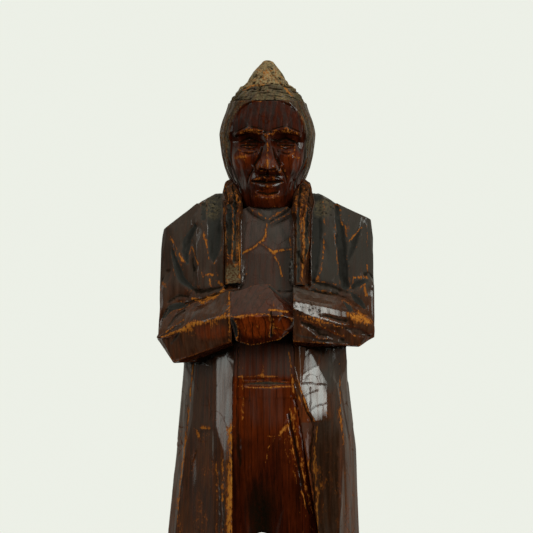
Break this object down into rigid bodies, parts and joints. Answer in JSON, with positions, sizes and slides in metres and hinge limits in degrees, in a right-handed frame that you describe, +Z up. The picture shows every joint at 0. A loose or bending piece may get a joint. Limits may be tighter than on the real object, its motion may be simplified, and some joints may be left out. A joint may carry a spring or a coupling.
{
  "type": "carved wooden figure",
  "caption": "Standing folk figure in dark varnished wood with a pointed cap, a long open coat and folded arms, on a plinth.",
  "frame": {"origin": "middle of the plinth's underside", "axes": "+Z up, +Y towards the figure's back, so the face looks along -Y and the figure's left arm is at +X"},
  "size_m": [0.106, 0.09, 0.3205],
  "materials": {
    "coat_wood": "dark stain under gloss varnish, worn on the edges",
    "body_wood": "red-brown stain under gloss varnish, worn on the edges",
    "cap_wood": "dark stain worn to the wood on the crown, varnished",
    "dowel_wood": "bare turned beech",
    "screw_steel": "plain steel"
  },
  "bodies": {
    "root": {"plinth": "coat_wood", "right_plinth_screw": "screw_steel", "left_plinth_screw": "screw_steel", "right_boot": "coat_wood", "left_boot": "coat_wood", "waistcoat_and_legs": "body_wood", "right_coat_half": "coat_wood", "left_coat_half": "coat_wood", "coat_collar": "coat_wood", "right_sleeve": "coat_wood", "left_sleeve": "coat_wood", "clasped_hands": "body_wood", "head": "body_wood", "cap": "cap_wood", "neck_dowel": "dowel_wood", "cap_dowel": "dowel_wood", "right_shoulder_dowel": "dowel_wood", "left_shoulder_dowel": "dowel_wood", "right_hip_dowel": "dowel_wood", "left_hip_dowel": "dowel_wood"}
  },
  "joints": []
}
